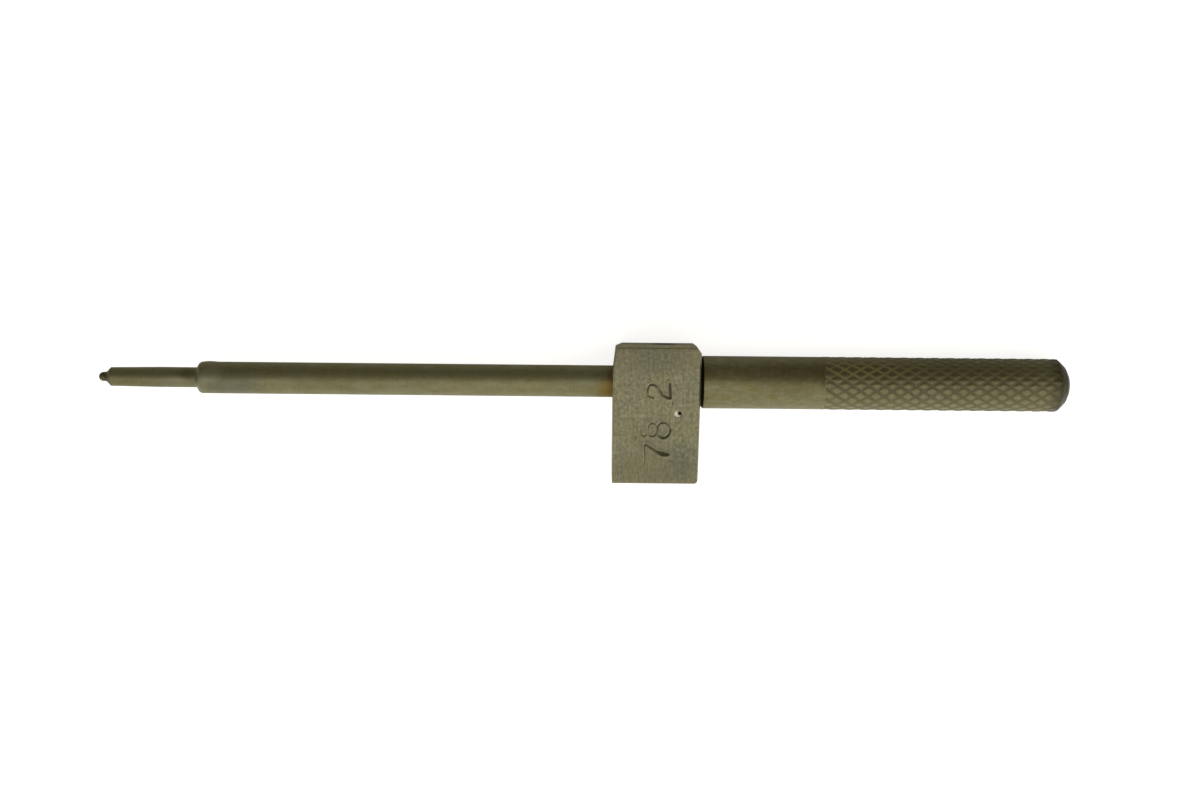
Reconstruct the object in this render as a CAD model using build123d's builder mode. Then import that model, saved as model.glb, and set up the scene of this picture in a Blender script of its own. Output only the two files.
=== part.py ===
from build123d import *
import os
from math import cos, radians, sin, tan

# Engine timing gauge. A stepped steel stem, pressed into a knurled handle, carries a square
# block that is clamped by a lock screw so that its front face stands at the gauge height.
# Sizes are in millimetres. X runs along the stem from pilot to handle, +Y is the side of the
# lock screw, +Z is the stamped face, and the origin is on the stem's axis at the shoulder.

# Gauge height, from the shoulder to the block's front face
gauge_height = 78.2

# Stem and pilot
stem_d = 6.0
pilot_d = 3.8
pilot_tip_d = 3.55
pilot_length = 17.0
pilot_straight = 7.0
pilot_chamfer = 0.65
nub_d = 1.74
nub_length = 1.55
shoulder_rise_max = 0.65
shoulder_angle = 60
stem_end_chamfer = 0.4

# Block
block_height = 25.65
block_depth = 12.7
foot_width = 15.85
head_width = 16.4
head_above_axis = 7.1
foot_round = 0.7
front_relief = 0.55
front_relief_length = 5.0
front_corner_run = 1.2
front_corner_drop = 0.55
rear_corner_run = 1.1
rear_corner_drop = 1.5
top_chamfer = 0.6
bore_chamfer = 0.25
bore_clearance = 0.03

# Lock screw and pad
screw_d = 4.83
screw_length = 3.18
screw_chamfer = 0.4
screw_setback = 9.65
socket_across_flats = 2.38
socket_depth = 1.6
thread_clearance = 0.04
mouth_chamfer = 0.12
pad_d = 3.9
pad_thickness = 0.6
pad_chamfer = 0.1
pad_gap = 0.02

# Handle
handle_gap = 0.15
smooth_d = 9.9
smooth_length = 22.75
knurl_d = 10.0
knurl_length = 44.1
front_chamfer = 0.4
end_chamfer = 1.5
dome_height = 1.0
press_depth = 22.0
press_interference = 0.01
bore_run_out = 0.5
drill_point_angle = 118

# Places that follow from those sizes
stem_r = stem_d / 2
pilot_r = pilot_d / 2
pilot_tip_r = pilot_tip_d / 2
nub_r = nub_d / 2
shoulder_step = stem_r - pilot_r
shoulder_rise = min(shoulder_rise_max, 0.6 * shoulder_step)
shoulder_run = shoulder_rise / tan(radians(shoulder_angle))
shoulder_radius = (shoulder_step - shoulder_rise) / (1 - cos(radians(shoulder_angle)))
shoulder_end = shoulder_run + shoulder_radius * sin(radians(shoulder_angle))
handle_start = gauge_height + max(foot_width, head_width) + handle_gap
stem_end = handle_start + press_depth
foot_y = head_above_axis - block_height
half_depth = block_depth / 2
cross_bore_r = stem_r + bore_clearance
screw_x = gauge_height + screw_setback
pad_bottom = stem_r + pad_gap
screw_bottom = pad_bottom + pad_thickness


# Gauge stem: nub, tapered pilot tip, straight pilot, bevelled and rounded shoulder, stem
with BuildPart() as gauge_stem:
    with BuildSketch(Plane.XY):
        with BuildLine():
            nub = CenterArc((nub_r - pilot_length - nub_length, 0), nub_r, 180, -90)
            Polyline(
                nub @ 1,
                (-pilot_length, nub_r),
                (-pilot_length, pilot_tip_r - pilot_chamfer),
                (pilot_chamfer - pilot_length, pilot_tip_r),
                (-pilot_straight, pilot_r),
                (0, pilot_r),
                (shoulder_run, pilot_r + shoulder_rise),
            )
            shoulder_centre = (shoulder_end, stem_r - shoulder_radius)
            CenterArc(shoulder_centre, shoulder_radius, 90 + shoulder_angle, -shoulder_angle)
            Polyline(
                (shoulder_end, stem_r),
                (stem_end - stem_end_chamfer, stem_r),
                (stem_end, stem_r - stem_end_chamfer),
                (stem_end, 0),
                nub @ 0,
            )
        make_face()
    revolve(axis=Axis.X)
gauge_stem.part.label = "gauge_stem"

# Grip handle: smooth front, raised knurl band, bevelled and domed end, blind drilled bore
knurl_start = handle_start + smooth_length
knurl_end = knurl_start + knurl_length
dome_base_r = knurl_d / 2 - end_chamfer
dome_radius = (dome_base_r**2 + dome_height**2) / (2 * dome_height)
handle_end = knurl_end + end_chamfer + dome_height
bore_r = stem_r - press_interference
bore_end = stem_end + bore_run_out
with BuildPart() as grip_handle:
    with BuildSketch(Plane.XY):
        with BuildLine():
            Polyline(
                (handle_start, 0),
                (handle_start, smooth_d / 2 - front_chamfer),
                (handle_start + front_chamfer, smooth_d / 2),
                (knurl_start, smooth_d / 2),
                (knurl_start, knurl_d / 2),
                (knurl_end, knurl_d / 2),
                (knurl_end + end_chamfer, dome_base_r),
            )
            RadiusArc((knurl_end + end_chamfer, dome_base_r), (handle_end, 0), dome_radius)
            Line((handle_end, 0), (handle_start, 0))
        make_face()
    revolve(axis=Axis.X)
    with BuildSketch(Plane.XY):
        Polygon(
            (handle_start, 0),
            (handle_start, bore_r),
            (bore_end, bore_r),
            (bore_end + bore_r / tan(radians(drill_point_angle / 2)), 0),
            align=None,
        )
    revolve(axis=Axis.X, mode=Mode.SUBTRACT)
grip_handle.part.label = "grip_handle"

# Gauge block: its rear face leans out towards the head, whose corners are filed back
rear_slope = (head_width - foot_width) / block_height
head_rear_x = gauge_height + head_width
head_front_x = gauge_height + front_relief
with BuildPart() as gauge_block:
    with BuildSketch(Plane.XY) as outline:
        Polygon(
            (gauge_height, foot_y),
            (gauge_height + foot_width, foot_y),
            (head_rear_x - rear_slope * rear_corner_drop, head_above_axis - rear_corner_drop),
            (head_rear_x - rear_corner_run, head_above_axis),
            (head_front_x + front_corner_run, head_above_axis),
            (head_front_x, head_above_axis - front_corner_drop),
            (gauge_height, head_above_axis - front_relief_length),
            align=None,
        )
        fillet(outline.vertices().group_by(Axis.Y)[0].sort_by(Axis.X)[-1], radius=foot_round)
    extrude(amount=half_depth, both=True)
    with BuildSketch(Plane.YZ):
        for side in (1, -1):
            Polygon(
                (head_above_axis, side * half_depth),
                (head_above_axis - top_chamfer, side * half_depth),
                (head_above_axis, side * (half_depth - top_chamfer)),
                align=None,
            )
    extrude(amount=handle_start, mode=Mode.SUBTRACT)
    with BuildSketch(Plane.XY):
        Polygon(
            (gauge_height, 0),
            (gauge_height, cross_bore_r + bore_chamfer),
            (gauge_height + bore_chamfer, cross_bore_r),
            (handle_start, cross_bore_r),
            (handle_start, 0),
            align=None,
        )
    revolve(axis=Axis.X, mode=Mode.SUBTRACT)
    with BuildSketch(Plane((screw_x, head_above_axis, 0), z_dir=(0, 1, 0))):
        Circle(screw_d / 2 + thread_clearance)
    extrude(amount=-head_above_axis, mode=Mode.SUBTRACT)
    tap_mouth = gauge_block.edges().filter_by(GeomType.CIRCLE).sort_by(Axis.Y)[-1]
    chamfer(tap_mouth, length=mouth_chamfer)
gauge_block.part.label = "gauge_block"

# Lock pad: a soft disc on the stem, under the screw
with BuildPart() as lock_pad:
    with BuildSketch(Plane((screw_x, pad_bottom, 0), z_dir=(0, 1, 0))):
        Circle(pad_d / 2)
    extrude(amount=pad_thickness)
    chamfer(lock_pad.edges(), length=pad_chamfer)
lock_pad.part.label = "lock_pad"

# Lock screw: flat-point set screw with a hexagon socket, plain at its thread's outer size
with BuildPart() as lock_screw:
    with BuildSketch(Plane((screw_x, screw_bottom, 0), z_dir=(0, 1, 0))):
        Circle(screw_d / 2)
    extrude(amount=screw_length)
    chamfer(lock_screw.edges().filter_by(GeomType.CIRCLE), length=screw_chamfer)
    with BuildSketch(Plane((screw_x, screw_bottom + screw_length, 0), z_dir=(0, 1, 0))):
        RegularPolygon(radius=socket_across_flats / 2, side_count=6, major_radius=False)
    extrude(amount=-socket_depth, mode=Mode.SUBTRACT)
lock_screw.part.label = "lock_screw"

os.makedirs("parts", exist_ok=True)
export_step(gauge_stem.part, "parts/gauge_stem.step")
export_step(grip_handle.part, "parts/grip_handle.step")
export_step(gauge_block.part, "parts/gauge_block.step")
export_step(lock_pad.part, "parts/lock_pad.step")
export_step(lock_screw.part, "parts/lock_screw.step")
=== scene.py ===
from itertools import combinations
from math import atan2, ceil, cos, hypot, pi, radians, sin, sqrt, tan

import bmesh
import bpy
import numpy as np
from mathutils import Matrix, Vector
from mathutils.geometry import delaunay_2d_cdt


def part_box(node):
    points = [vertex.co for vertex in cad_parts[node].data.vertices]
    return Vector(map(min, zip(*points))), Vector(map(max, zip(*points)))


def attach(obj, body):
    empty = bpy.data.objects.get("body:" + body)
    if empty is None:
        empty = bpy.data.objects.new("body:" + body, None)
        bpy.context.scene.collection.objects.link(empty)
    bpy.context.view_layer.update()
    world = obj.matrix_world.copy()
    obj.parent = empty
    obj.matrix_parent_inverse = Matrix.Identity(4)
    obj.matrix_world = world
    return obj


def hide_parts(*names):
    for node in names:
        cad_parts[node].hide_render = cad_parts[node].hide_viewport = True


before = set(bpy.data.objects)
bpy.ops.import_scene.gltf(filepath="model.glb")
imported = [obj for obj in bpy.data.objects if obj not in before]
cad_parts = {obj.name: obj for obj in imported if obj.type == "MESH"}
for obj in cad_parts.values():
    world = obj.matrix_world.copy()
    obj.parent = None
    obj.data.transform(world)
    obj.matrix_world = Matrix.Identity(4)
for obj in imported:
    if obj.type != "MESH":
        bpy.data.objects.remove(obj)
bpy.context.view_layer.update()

# Engine timing gauge. The frame holds its solids in metres; the pieces here are shaped in
# millimetres, in the same frame, and scaled to metres as the last step of making each one.
# X runs along the stem from the pilot to the handle, +Y is the lock screw's side and +Z is
# the stamped face. An angle round the stem is measured from +Z towards +Y.
#
# Three attributes tell the materials about the shapes. groove is a turned piece's depth below its
# profile, and on the block the share of dirt and painted shade that a mark holds. The second says
# where the block's steel is worn bright, and it also holds painted highlights on the marks' -X
# walls and on one side of the punched point. edge marks the block's broken edges.

MM = 0.001


def box_mm(node):
    """Lowest and highest corner of a CAD node in millimetres."""
    low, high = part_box(node)
    return low / MM, high / MM


# Sizes that come from the frame
stem_low, stem_high = box_mm("gauge_stem")
grip_low, grip_high = box_mm("grip_handle")
block_low, block_high = box_mm("gauge_block")
screw_low, screw_high = box_mm("lock_screw")
pad_low, pad_high = box_mm("lock_pad")
stem_r = stem_high.z
knurl_r = grip_high.z
half_depth = block_high.z
screw_r = screw_high.z
screw_x = (screw_low.x + screw_high.x) / 2

# Stem and pilot
pilot_r = 1.9
pilot_tip_r = 1.775
pilot_length = 17.0
pilot_straight = 7.0
pilot_chamfer = 0.65
nub_r = 0.87
shoulder_rise = 0.65
shoulder_angle = radians(60)
stem_end_chamfer = 0.4
stem_sides = 128
stem_step = 0.7
neck_length = 0.08
neck_round = 0.9
tip_lead = 0.12
turned_round = 0.15
cone_share = 0.99
burr_x = 2.45
burr_height = 0.12
burr_half_length = 1.25
burr_angle = radians(84)
burr_spread = 0.42
burr_wall = 0.6

# Grip
smooth_r = 4.95
smooth_length = 22.75
knurl_length = 44.1
grip_front_chamfer = 0.4
grip_end_chamfer = 1.5
dome_height = 1.0
bore_end_gap = 0.5
knurl_starts = 15
knurl_pitch = 2.93
knurl_land_x = 119.85
knurl_land_angle = radians(-13)
knurl_steps = 18
groove_depth = 0.12
groove_half_width = 0.55
second_hand_start = 0.54
settled_groove = 0.8
settling_length = 11
land_crown = 0.04
first_crown = 0.4
least_depth = 0.01
knurl_wall = 1.5
press_interference = 0.01
drill_half_angle = radians(59)

# Block
foot_width = 15.85
foot_round = 0.7
front_relief = 0.55
front_relief_length = 5.0
front_corner = (1.2, 0.55)
rear_corner = (1.1, 1.5)
top_chamfer = 0.6
corner_ease = 0.04
edge_break = 0.1
turned_edge = 0.06
stamp_room = 0.04
bore_clearance = 0.03
bore_r = stem_r + bore_clearance
bore_chamfer = 0.25
mouth_chamfer = 0.12

# Lock screw and its thread
thread_pitch = 0.79375
thread_depth = 0.43
thread_clearance = 0.04
thread_steps = 16
thread_sides = 72
thread_flat = 0.125
thread_flank = 0.625
screw_chamfer = 0.4
socket_across_flats = 2.38
socket_depth = 1.6
socket_mouth = 0.32
socket_mouth_depth = 0.12
socket_point_r = 0.25
socket_point_depth = 0.45

# Pad, with a shallow turning mark in the middle of its upper face
pad_chamfer = 0.1
pad_round = 0.04
pad_mark_r = 0.5
pad_mark_floor_r = 0.42
pad_mark_depth = 0.03
pad_mark_round = 0.02

# Sides of the small turned pieces, and the distance below which two points are one after a cut
fine_sides = 96
weld_distance = 0.0002


def rounded(corners):
    """A profile of (x, r) points from corners (x, r, radius), each rounded by an arc of its radius."""
    points = []
    for i, (x, r, radius) in enumerate(corners):
        here = Vector((x, r))
        if radius == 0 or i in (0, len(corners) - 1):
            points.append(here)
            continue
        back = (Vector(corners[i - 1][:2]) - here).normalized()
        ahead = (Vector(corners[i + 1][:2]) - here).normalized()
        half = back.angle(ahead) / 2
        centre = here + (back + ahead).normalized() * radius / sin(half)
        first = here + back * radius / tan(half) - centre
        last = here + ahead * radius / tan(half) - centre
        turn = first.angle_signed(last)
        steps = max(2, ceil(abs(turn) / radians(9)))
        for k in range(steps + 1):
            spin = Matrix.Rotation(-turn * k / steps, 2)
            points.append(centre + spin @ first)
    return [tuple(p) for p in points]


def spaced(points, step):
    """The same line of points with none further than step from the next."""
    line = [points[0]]
    for a, b in zip(points, points[1:]):
        parts = max(1, ceil(hypot(b[0] - a[0], b[1] - a[1]) / step))
        for k in range(1, parts + 1):
            line.append((a[0] + (b[0] - a[0]) * k / parts, a[1] + (b[1] - a[1]) * k / parts))
    return line


def lathe(profile, angles, depth=None):
    """A closed turned bmesh about X. depth(x, r, angle) is how far a point lies below the profile."""
    xs = np.array([p[0] for p in profile])
    rs = np.array([p[1] for p in profile])
    inner = slice(1, -1)
    x, angle = np.meshgrid(xs[inner], angles, indexing="ij")
    r = np.repeat(rs[inner, None], len(angles), axis=1)
    below = depth(x, r, angle) if depth else np.zeros_like(r)
    r = r - below
    body = np.stack([x, r * np.sin(angle), r * np.cos(angle)], axis=-1).reshape(-1, 3)
    sides, rows = len(angles), len(profile) - 2
    poles = [(xs[0], 0.0, 0.0), (xs[-1], 0.0, 0.0)]
    faces = []
    for i in range(rows - 1):
        for j in range(sides):
            k = (j + 1) % sides
            faces.append((i * sides + j, i * sides + k, (i + 1) * sides + k, (i + 1) * sides + j))
    first, last, end = rows * sides, rows * sides + 1, (rows - 1) * sides
    for j in range(sides):
        k = (j + 1) % sides
        faces.append((first, k, j))
        faces.append((last, end + j, end + k))
    mesh = bpy.data.meshes.new("turned")
    mesh.from_pydata([*body.tolist(), *poles], [], faces)
    groove = mesh.attributes.new("groove", "FLOAT", "POINT")
    groove.data.foreach_set("value", np.append(below.reshape(-1), [0, 0]).astype(np.float32))
    bm = bmesh.new()
    bm.from_mesh(mesh)
    bpy.data.meshes.remove(mesh)
    bmesh.ops.recalc_face_normals(bm, faces=bm.faces)
    return bm


def even_angles(sides):
    return np.arange(sides) * 2 * pi / sides


def placed(name, data):
    """A mesh, lamp or camera as an object in the scene."""
    obj = bpy.data.objects.new(name, data)
    bpy.context.scene.collection.objects.link(obj)
    return obj


def object_of(name, bm):
    """The bmesh as an object in the scene. The bmesh is freed."""
    mesh = bpy.data.meshes.new(name)
    bm.to_mesh(mesh)
    bm.free()
    return placed(name, mesh)


def cut(obj, cutter):
    """Takes the cutter's volume out of obj and removes the cutter."""
    tool = obj.modifiers.new("cut", "BOOLEAN")
    tool.operation = "DIFFERENCE"
    tool.solver = "EXACT"
    tool.object = cutter
    shown = bpy.context.evaluated_depsgraph_get()
    result = bpy.data.meshes.new_from_object(obj.evaluated_get(shown))
    obj.modifiers.clear()
    bm = bmesh.new()
    bm.from_mesh(result)
    bmesh.ops.remove_doubles(bm, verts=bm.verts, dist=weld_distance)
    bm.to_mesh(result)
    bm.free()
    old, obj.data = obj.data, result
    bpy.data.meshes.remove(old)
    bpy.data.objects.remove(cutter)


def finish_piece(obj, body, node, material, sharp_angle=40):
    """Scales the piece to metres, shades it, gives it its body and material, and hides its CAD node.

    With no sharp angle, the piece keeps the sharp edges that it has.
    """
    obj.data.transform(Matrix.Scale(MM, 4))
    obj.data.materials.clear()
    obj.data.materials.append(material)
    obj.data.shade_smooth()
    if sharp_angle:
        obj.data.set_sharp_from_angle(angle=radians(sharp_angle))
    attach(obj, body)
    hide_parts(node)
    return obj


# Stem


def stem_burr(x, r, angle):
    """A small raised burr on the +Y side, just behind the shoulder, and nothing else."""
    away = np.angle(np.exp(1j * (angle - burr_angle)))
    along = np.clip(1 - ((x - burr_x) / burr_half_length) ** 2, 0, 1)
    round_it = np.exp(-((away / burr_spread) ** 2))
    return -burr_height * along * round_it * (r > stem_r - burr_wall)


def ground_stem(material):
    tip = stem_low.x
    end = stem_high.x
    nub_end = -pilot_length
    step = stem_r - pilot_r
    shoulder_x = step / tan(shoulder_angle)
    shoulder_radius = (step - shoulder_rise * cone_share) / (1 - cos(shoulder_angle))
    nub = [(tip + nub_r * (1 - cos(a)), nub_r * sin(a)) for a in np.linspace(0, pi / 2, 10)]
    rest = rounded([
        (*nub[-1], 0),
        (nub_end - neck_length, nub_r, neck_round),
        (nub_end + pilot_chamfer + tip_lead, pilot_tip_r, turned_round),
        (-pilot_straight, pilot_r, 0),
        (0, pilot_r, turned_round),
        (shoulder_x, stem_r, shoulder_radius),
        (end - stem_end_chamfer, stem_r, 0.05),
        (end, stem_r - stem_end_chamfer, 0),
        (end, 0, 0),
    ])
    profile = spaced(nub + rest[1:], stem_step)
    obj = object_of("ground_stem", lathe(profile, even_angles(stem_sides), stem_burr))
    return finish_piece(obj, "rod", "gauge_stem", material)


# Grip

knurl_start = grip_low.x + smooth_length
knurl_end = knurl_start + knurl_length


def ramp(value, low, high):
    """0 at low, 1 at high, with a smooth turn at both."""
    t = np.clip((value - low) / (high - low), 0, 1)
    return t * t * (3 - 2 * t)


def knurl_depth(x, r, angle):
    """Depth below the grip's outer surface: two hands of rolled grooves and a crown on each land."""
    turn = 2 * pi / knurl_starts
    along = (x - knurl_land_x) / knurl_pitch
    around = (angle - knurl_land_angle) / turn
    spacing = 1 / hypot(1 / knurl_pitch, 1 / (turn * knurl_r))
    started = ramp(x, knurl_start - 0.02, knurl_start + 0.5)
    ended = 1 - ramp(x, knurl_end - 0.2, knurl_end + 0.7)
    settled = ramp(x, knurl_start, knurl_start + settling_length)
    total = np.zeros_like(x)
    first_hand = 1 + (settled_groove - 1) * settled
    second_hand = second_hand_start + (settled_groove - second_hand_start) * settled
    for hand, strength in ((1, first_hand), (-1, second_hand)):
        place = along + hand * around
        away = np.abs(place - np.floor(place) - 0.5) * spacing
        wall = np.clip(1 - away / groove_half_width, 0, 1)
        groove = (1 - np.cos(pi * wall)) / 2
        total = np.maximum(total, groove_depth * strength * groove)
    waves = np.cos(2 * pi * (along + around)) + np.cos(2 * pi * (along - around))
    crown = land_crown * (2 - waves) / 4 * (first_crown + (1 - first_crown) * settled)
    return (total + crown + least_depth) * started * ended * (r > smooth_r - knurl_wall)


def knurled_grip(material):
    front = grip_low.x
    end = grip_high.x
    bore_bottom = stem_high.x + bore_end_gap
    wall = stem_r - press_interference
    dome_r = knurl_r - grip_end_chamfer
    dome_radius = (dome_r**2 + dome_height**2) / (2 * dome_height)
    row = knurl_pitch / knurl_steps
    first_row = knurl_land_x - row * int((knurl_land_x - knurl_start - 0.1) / row)
    knurl_rows = np.arange(first_row, knurl_end - 0.05, row)
    inside = rounded([
        (bore_bottom + wall / tan(drill_half_angle), 0, 0),
        (bore_bottom, wall, 0),
        (front, wall, 0.06),
        (front, smooth_r - grip_front_chamfer, 0.05),
        (front + grip_front_chamfer, smooth_r, 0.12),
        (knurl_start - 0.05, smooth_r, 0),
    ])
    profile = inside[:3] + spaced(inside[3:], 1.0)
    profile += [(knurl_start + 0.02, knurl_r)] + [(x, knurl_r) for x in knurl_rows]
    sweep = atan2(dome_r, dome_radius - dome_height)
    centre_x = end - dome_radius
    inner = (centre_x + dome_radius * cos(sweep * 0.6), dome_radius * sin(sweep * 0.6))
    chamfer = rounded([
        (knurl_end - 1, knurl_r, 0),
        (knurl_end, knurl_r, 0.6),
        (knurl_end + grip_end_chamfer, dome_r, 1.2),
        (*inner, 0),
    ])
    profile += spaced(chamfer[1:], 0.16)
    for k in range(5, 12):
        a = sweep * (1 - k / 12)
        profile.append((centre_x + dome_radius * cos(a), dome_radius * sin(a)))
    profile.append((end, 0.0))
    sides = knurl_starts * knurl_steps
    angles = even_angles(sides) + knurl_land_angle
    obj = object_of("knurled_grip", lathe(profile, angles, knurl_depth))
    return finish_piece(obj, "rod", "grip_handle", material, 50)


# Block


def block_outline():
    """The block's outline in X and Y, counter-clockwise from the foot's front corner."""
    front, foot = block_low.x, block_low.y
    head = block_high.y
    rear_foot = front + foot_width
    rear_head = block_high.x
    corner = rounded([
        (front, foot, 0),
        (rear_foot, foot, foot_round),
        (rear_head, head - rear_corner[1], 0),
    ])
    return corner + [
        (rear_head - rear_corner[0] + corner_ease, head),
        (front + front_relief + front_corner[0], head),
        (front + front_relief, head - front_corner[1]),
        (front, head - front_relief_length),
    ]


def block_planes():
    """The block's flats as (normal, distance from the origin): sides, faces and head chamfers."""
    outline = block_outline()
    planes = []
    for a, b in zip(outline, outline[1:] + outline[:1]):
        normal = Vector((b[1] - a[1], a[0] - b[0], 0)).normalized()
        planes.append((normal, normal.dot((*a, 0))))
    for side in (1, -1):
        planes.append((Vector((0, 0, side)), half_depth - (stamp_room if side == 1 else 0)))
        corner = Vector((0, block_high.y - top_chamfer, side * half_depth))
        chamfer = Vector((0, 1, side)).normalized()
        planes.append((chamfer, chamfer.dot(corner)))
        turned = (chamfer + Vector((0, 0, side))).normalized()
        planes.append((turned, turned.dot(corner) - turned_edge))
    return planes


def solid_within(planes, radius):
    """The convex solid inside the planes, with its edges and corners rounded to the radius."""
    normals = np.array([tuple(normal) for normal, distance in planes])
    inset = np.array([distance for normal, distance in planes]) - radius
    points = set()
    for trio in combinations(range(len(planes)), 3):
        three = normals[list(trio)]
        if abs(np.linalg.det(three)) < 1e-6:
            continue
        centre = np.linalg.solve(three, inset[list(trio)])
        if (normals @ centre - inset > 1e-6).any():
            continue
        ways = [*three, three.sum(axis=0)]
        for one, other in combinations(three, 2):
            ways += [one * 3 + other, one + other, one + other * 3]
        for way in ways:
            point = centre + way / np.linalg.norm(way) * radius
            points.add(tuple(round(float(v), 5) for v in point))
    bm = bmesh.new()
    for point in sorted(points):
        bm.verts.new(point)
    bmesh.ops.remove_doubles(bm, verts=bm.verts, dist=0.001)
    hull = bmesh.ops.convex_hull(bm, input=bm.verts)
    not_used = hull["geom_interior"] + hull["geom_unused"]
    spare = {v for v in not_used if isinstance(v, bmesh.types.BMVert)}
    bmesh.ops.delete(bm, geom=list(spare), context="VERTS")
    bmesh.ops.dissolve_limit(bm, angle_limit=radians(0.4), verts=bm.verts, edges=bm.edges)
    return bm


def block_blank():
    """The block before its holes are cut. Its broken edges are marked for their wear."""
    planes = block_planes()
    bm = solid_within(planes, edge_break)
    edge = bm.faces.layers.float.new("edge")
    for face in bm.faces:
        face[edge] = min(face.normal.angle(normal) for normal, distance in planes) > radians(2)
    return bm


def drill(points, name):
    """A turned cutter for the cross bore, from (x, r) points."""
    return object_of(name, lathe(points, even_angles(fine_sides)))


def thread_below(crest, root, low, high, end_slope):
    """Depth of a right-hand thread below its crest, with cone ends that fall by end_slope."""

    def depth(x, r, angle):
        phase = x / thread_pitch + angle / (2 * pi)
        t = np.abs(phase - np.floor(phase) - 0.5) * 2
        turn = (crest - root) * np.clip((t - thread_flat) / thread_flank, 0, 1)
        ends = np.maximum(low - x, x - high) * end_slope
        return np.where(r > root, np.maximum(turn, ends), 0)

    return depth


def thread_rows(low, high):
    step = thread_pitch / thread_steps
    return np.arange(ceil((low + 1e-6) / step), ceil((high - 1e-6) / step)) * step


def stand_up(bm, x):
    """Turns a bmesh made about X so that it stands along +Y at that x."""
    upright = Matrix.Translation((x, 0, 0)) @ Matrix.Rotation(pi / 2, 4, "Z")
    bmesh.ops.transform(bm, matrix=upright, verts=bm.verts)
    return bm


def tap_cutter():
    """The tapped hole as a solid: thread, and a cone at the mouth that stands proud of the head."""
    head = block_high.y
    crest = screw_r + thread_clearance
    root = crest - thread_depth
    low, proud = 1.0, 0.3
    mouth = head - mouth_chamfer
    profile = [(low, 0), (low, crest)] + [(x, crest) for x in thread_rows(low, mouth)]
    profile += [(mouth, crest), (head + proud, crest + mouth_chamfer + proud), (head + proud, 0)]
    worked = thread_below(crest, root, low - 1, mouth, 0)

    def depth(x, r, angle):
        return np.where(x < mouth - 1e-6, worked(x, r, angle), 0)

    return object_of("tap", stand_up(lathe(profile, even_angles(thread_sides), depth), screw_x))


# Stamped figures, each in its own square: first number across, second number up, third depth
figure_seven = [
    [(0.0, 4.2, 0.03), (1.6, 4.32, 0.08), (3.0, 4.38, 0.11), (3.5, 4.1, 0.13)],
    [(3.5, 4.1, 0.13), (2.6, 2.75, 0.15), (1.95, 1.65, 0.2), (1.73, 0.85, 0.27), (1.6, 0.0, 0.2)],
]
figure_two = [
    [
        (0.02, 3.1, 0.12), (0.42, 3.93, 0.12), (1.18, 4.21, 0.12), (2.12, 3.95, 0.13),
        (2.46, 3.41, 0.14), (2.33, 2.73, 0.14), (1.8, 2.19, 0.15), (0.92, 1.63, 0.17),
        (0.32, 0.96, 0.18), (0.0, 0.0, 0.2),
    ],
    [(0.0, 0.0, 0.2), (1.3, 0.1, 0.21), (2.56, 0.17, 0.2)],
]
spur_of_two = [[(-0.55, -0.34, 0.04), (-0.85, -0.42, 0.08), (-1.25, -0.48, 0.03)]]


bowl_parts = 28


def bowl(across, up, half_across, half_up, depths):
    """A closed round stroke whose depth runs evenly through depths, from its top."""
    line = []
    for k in range(bowl_parts + 1):
        a = 2 * pi * k / bowl_parts
        share = k / bowl_parts * (len(depths) - 1)
        low = min(int(share), len(depths) - 2)
        depth = depths[low] + (depths[low + 1] - depths[low]) * (share - low)
        line.append((across + half_across * sin(a), up + half_up * cos(a), depth))
    return line


figure_eight = [
    bowl(1.42, 1.22, 1.42, 1.22, (0.09, 0.12, 0.16, 0.17, 0.09)),
    bowl(1.5, 3.25, 1.22, 0.87, (0.05, 0.08, 0.12, 0.11, 0.05)),
]
ghost_strike = [
    [(0.9, 5.5, 0.04), (0.2, 5.45, 0.07), (-0.3, 5.1, 0.09), (-0.5, 4.7, 0.08), (-0.1, 4.4, 0.04)],
]

# Each strike: the figure's strokes and the place of its lower left corner on the face
strikes = [
    (figure_seven, (88.43, -14.66)),
    (figure_eight, (88.79, -9.96)),
    (ghost_strike, (88.79, -9.16)),
    (figure_two, (88.73, -2.57)),
    (spur_of_two, (88.73, -2.57)),
]

# The punched point: a shallow round mark with a small deep pit off its middle. The pit is painted dark,
# a painted shade, and the rim on its -X, -Y side is painted bright, a painted highlight.
point_at = (90.31, -5.59)
point_r = 0.72
point_depth = 0.07
pit_off = (0.3, 0.15)
pit_r = 0.36
pit_depth = 0.3
point_highlight_side = (-0.74, -0.67)

# Small dents in the face: place and radius
dents = ((82.49, -9.96, 0.3), (82.09, -6.55, 0.26), (92.3, -10.6, 0.2), (80.6, 3.9, 0.16))
dent_depth = 0.03

# Strokes: their walls, floors and raised lips, and the depths at which they hold the most dirt and
# painted shade, and at which their -X walls are barest and most brightly painted, a painted highlight
stroke_slope = 0.52
stroke_reach = 0.9
faint_half_width = 0.27
floor_round = 0.12
lip_share = 0.12
lip_width = 0.1
dirt_and_shade_depth = 0.14
bare_and_highlight_depth = 0.06
most_bare_and_highlight = 0.5

# How far apart the face's points are, near the strokes and elsewhere
fine_step = 0.06
coarse_step = 0.9


def smooth_line(points, parts=8):
    """A line through the points, with its turns rounded, parts short pieces to a span.

    A bowl is round already and stays as it is.
    """
    if len(points) > bowl_parts:
        return [Vector(p) for p in points]
    ends = [Vector(points[0]) * 2 - Vector(points[1]), Vector(points[-1]) * 2 - Vector(points[-2])]
    p = [ends[0], *map(Vector, points), ends[1]]
    line = []
    for i in range(1, len(p) - 2):
        for k in range(parts):
            t = k / parts
            bend = 2 * p[i] + (p[i + 1] - p[i - 1]) * t
            bend += (2 * p[i - 1] - 5 * p[i] + 4 * p[i + 1] - p[i + 2]) * t * t
            bend += (3 * p[i] - p[i - 1] - 3 * p[i + 1] + p[i + 2]) * t**3
            line.append(bend / 2)
    return line + [Vector(points[-1])]


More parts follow.
